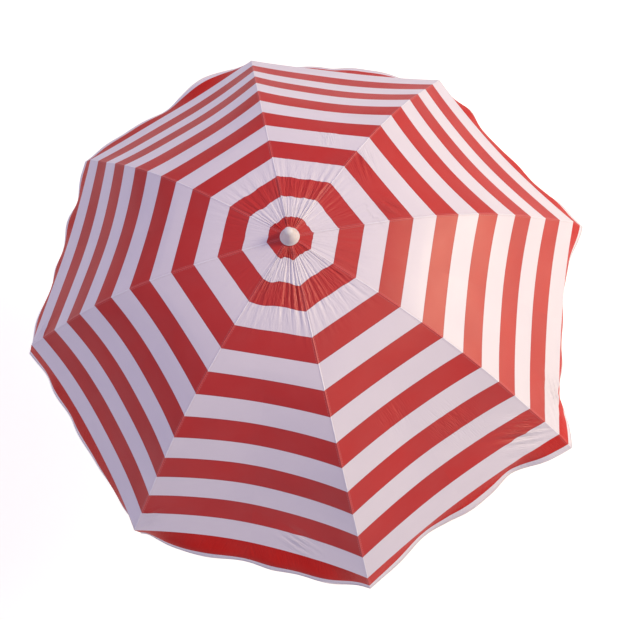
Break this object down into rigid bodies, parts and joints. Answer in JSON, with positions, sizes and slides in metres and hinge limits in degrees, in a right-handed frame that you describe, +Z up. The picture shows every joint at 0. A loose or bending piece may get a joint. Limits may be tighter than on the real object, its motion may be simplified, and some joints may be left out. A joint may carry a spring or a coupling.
{
  "type": "beach umbrella",
  "caption": "Folding beach umbrella: striped octagonal canopy on ribs and stretchers, sliding runner, tilt joint, height clamp and a pole with a sand tip.",
  "frame": {"origin": "bottom of the sand tip, on the pole's axis", "axes": "+Z up along the pole towards the crown; +X along the first rib; +Y along the third rib. The canopy tilts towards -Y."},
  "size_m": [1.8544, 1.8544, 2.131],
  "materials": {
    "striped_cloth": "matte woven",
    "valance_cloth": "matte woven",
    "white_plastic": "gloss",
    "red_plastic": "gloss",
    "rib_steel": "zinc plated",
    "white_tube": "gloss"
  },
  "bodies": {
    "ground_pole": {"sand_tip": "white_plastic", "lower_pole": "white_tube", "clamp_collar": "white_plastic"},
    "clamp_screw": {"clamp_knob": "red_plastic"},
    "upper_pole": {"middle_pole": "white_tube", "tilt_base": "white_plastic", "tilt_pin": "rib_steel"},
    "tilt_release": {"tilt_button": "red_plastic"},
    "mast": {"tilt_head": "white_plastic", "mast": "white_tube", "crown_hub": "white_plastic", "crown_ring": "rib_steel", "crown_washer": "rib_steel", "finial": "white_plastic"},
    "catch": {"catch_button": "rib_steel"},
    "runner": {"runner": "white_plastic", "runner_ring": "rib_steel"},
    "rib_1": {"rib_1": "rib_steel", "rib_tip_1": "white_plastic", "gore_1": "striped_cloth", "valance_1": "valance_cloth"},
    "stretcher_1": {"stretcher_1": "rib_steel"},
    "rib_2": {"rib_2": "rib_steel", "rib_tip_2": "white_plastic", "gore_2": "striped_cloth", "valance_2": "valance_cloth"},
    "stretcher_2": {"stretcher_2": "rib_steel"},
    "rib_3": {"rib_3": "rib_steel", "rib_tip_3": "white_plastic", "gore_3": "striped_cloth", "valance_3": "valance_cloth"},
    "stretcher_3": {"stretcher_3": "rib_steel"},
    "rib_4": {"rib_4": "rib_steel", "rib_tip_4": "white_plastic", "gore_4": "striped_cloth", "valance_4": "valance_cloth"},
    "stretcher_4": {"stretcher_4": "rib_steel"},
    "rib_5": {"rib_5": "rib_steel", "rib_tip_5": "white_plastic", "gore_5": "striped_cloth", "valance_5": "valance_cloth"},
    "stretcher_5": {"stretcher_5": "rib_steel"},
    "rib_6": {"rib_6": "rib_steel", "rib_tip_6": "white_plastic", "gore_6": "striped_cloth", "valance_6": "valance_cloth"},
    "stretcher_6": {"stretcher_6": "rib_steel"},
    "rib_7": {"rib_7": "rib_steel", "rib_tip_7": "white_plastic", "gore_7": "striped_cloth", "valance_7": "valance_cloth"},
    "stretcher_7": {"stretcher_7": "rib_steel"},
    "rib_8": {"rib_8": "rib_steel", "rib_tip_8": "white_plastic", "gore_8": "striped_cloth", "valance_8": "valance_cloth"},
    "stretcher_8": {"stretcher_8": "rib_steel"}
  },
  "joints": [
    {"name": "clamp_turn", "type": "hinge", "parent": "ground_pole", "child": "clamp_screw", "pos_m": [0.03, 0, 0.813], "axis": [1, 0, 0], "range_deg": [-180, 0]},
    {"name": "height_adjust", "type": "slide", "parent": "ground_pole", "child": "upper_pole", "axis": [0, 0, 1], "range_m": [-0.22, 0]},
    {"name": "tilt", "type": "hinge", "parent": "upper_pole", "child": "mast", "pos_m": [0, 0, 1.09], "axis": [1, 0, 0], "range_deg": [0, 40]},
    {"name": "tilt_button_press", "type": "slide", "parent": "upper_pole", "child": "tilt_release", "axis": [0, 1, 0], "range_m": [0, 0.004], "stiffness_N_per_m": 600},
    {"name": "catch_press", "type": "slide", "parent": "mast", "child": "catch", "axis": [0, -1, 0], "range_m": [0, 0.0036], "stiffness_N_per_m": 600},
    {"name": "runner_slide", "type": "slide", "parent": "mast", "child": "runner", "axis": [0, 0, 1], "range_m": [-0.55889, 0]},
    {"name": "rib_1_fold", "type": "hinge", "parent": "mast", "child": "rib_1", "pos_m": [0.02, 0, 2.076], "axis": [0, 1, 0], "range_deg": [0, 61.95], "deforming": ["gore_1", "valance_1"]},
    {"name": "stretcher_1_swing", "type": "hinge", "parent": "rib_1", "child": "stretcher_1", "pos_m": [0.44, 0, 1.986], "axis": [0, 1, 0], "range_deg": [-109.3, 0]},
    {"name": "rib_2_fold", "type": "hinge", "parent": "mast", "child": "rib_2", "pos_m": [0.01414, 0.01414, 2.076], "axis": [-0.7071, 0.7071, 0], "range_deg": [0, 61.95], "deforming": ["gore_2", "valance_2"]},
    {"name": "stretcher_2_swing", "type": "hinge", "parent": "rib_2", "child": "stretcher_2", "pos_m": [0.31113, 0.31113, 1.986], "axis": [-0.7071, 0.7071, 0], "range_deg": [-109.3, 0]},
    {"name": "rib_3_fold", "type": "hinge", "parent": "mast", "child": "rib_3", "pos_m": [0, 0.02, 2.076], "axis": [-1, 0, 0], "range_deg": [0, 61.95], "deforming": ["gore_3", "valance_3"]},
    {"name": "stretcher_3_swing", "type": "hinge", "parent": "rib_3", "child": "stretcher_3", "pos_m": [0, 0.44, 1.986], "axis": [-1, 0, 0], "range_deg": [-109.3, 0]},
    {"name": "rib_4_fold", "type": "hinge", "parent": "mast", "child": "rib_4", "pos_m": [-0.01414, 0.01414, 2.076], "axis": [-0.7071, -0.7071, 0], "range_deg": [0, 61.95], "deforming": ["gore_4", "valance_4"]},
    {"name": "stretcher_4_swing", "type": "hinge", "parent": "rib_4", "child": "stretcher_4", "pos_m": [-0.31113, 0.31113, 1.986], "axis": [-0.7071, -0.7071, 0], "range_deg": [-109.3, 0]},
    {"name": "rib_5_fold", "type": "hinge", "parent": "mast", "child": "rib_5", "pos_m": [-0.02, 0, 2.076], "axis": [0, -1, 0], "range_deg": [0, 61.95], "deforming": ["gore_5", "valance_5"]},
    {"name": "stretcher_5_swing", "type": "hinge", "parent": "rib_5", "child": "stretcher_5", "pos_m": [-0.44, 0, 1.986], "axis": [0, -1, 0], "range_deg": [-109.3, 0]},
    {"name": "rib_6_fold", "type": "hinge", "parent": "mast", "child": "rib_6", "pos_m": [-0.01414, -0.01414, 2.076], "axis": [0.7071, -0.7071, 0], "range_deg": [0, 61.95], "deforming": ["gore_6", "valance_6"]},
    {"name": "stretcher_6_swing", "type": "hinge", "parent": "rib_6", "child": "stretcher_6", "pos_m": [-0.31113, -0.31113, 1.986], "axis": [0.7071, -0.7071, 0], "range_deg": [-109.3, 0]},
    {"name": "rib_7_fold", "type": "hinge", "parent": "mast", "child": "rib_7", "pos_m": [0, -0.02, 2.076], "axis": [1, 0, 0], "range_deg": [0, 61.95], "deforming": ["gore_7", "valance_7"]},
    {"name": "stretcher_7_swing", "type": "hinge", "parent": "rib_7", "child": "stretcher_7", "pos_m": [0, -0.44, 1.986], "axis": [1, 0, 0], "range_deg": [-109.3, 0]},
    {"name": "rib_8_fold", "type": "hinge", "parent": "mast", "child": "rib_8", "pos_m": [0.01414, -0.01414, 2.076], "axis": [0.7071, 0.7071, 0], "range_deg": [0, 61.95], "deforming": ["gore_8", "valance_8"]},
    {"name": "stretcher_8_swing", "type": "hinge", "parent": "rib_8", "child": "stretcher_8", "pos_m": [0.31113, -0.31113, 1.986], "axis": [0.7071, 0.7071, 0], "range_deg": [-109.3, 0]}
  ],
  "couplings": [
    {"joint": "rib_1_fold", "follows": "runner_slide", "rad_per_m": -1.933},
    {"joint": "stretcher_1_swing", "follows": "runner_slide", "rad_per_m": 3.4113},
    {"joint": "rib_2_fold", "follows": "runner_slide", "rad_per_m": -1.933},
    {"joint": "stretcher_2_swing", "follows": "runner_slide", "rad_per_m": 3.4113},
    {"joint": "rib_3_fold", "follows": "runner_slide", "rad_per_m": -1.933},
    {"joint": "stretcher_3_swing", "follows": "runner_slide", "rad_per_m": 3.4113},
    {"joint": "rib_4_fold", "follows": "runner_slide", "rad_per_m": -1.933},
    {"joint": "stretcher_4_swing", "follows": "runner_slide", "rad_per_m": 3.4113},
    {"joint": "rib_5_fold", "follows": "runner_slide", "rad_per_m": -1.933},
    {"joint": "stretcher_5_swing", "follows": "runner_slide", "rad_per_m": 3.4113},
    {"joint": "rib_6_fold", "follows": "runner_slide", "rad_per_m": -1.933},
    {"joint": "stretcher_6_swing", "follows": "runner_slide", "rad_per_m": 3.4113},
    {"joint": "rib_7_fold", "follows": "runner_slide", "rad_per_m": -1.933},
    {"joint": "stretcher_7_swing", "follows": "runner_slide", "rad_per_m": 3.4113},
    {"joint": "rib_8_fold", "follows": "runner_slide", "rad_per_m": -1.933},
    {"joint": "stretcher_8_swing", "follows": "runner_slide", "rad_per_m": 3.4113}
  ]
}
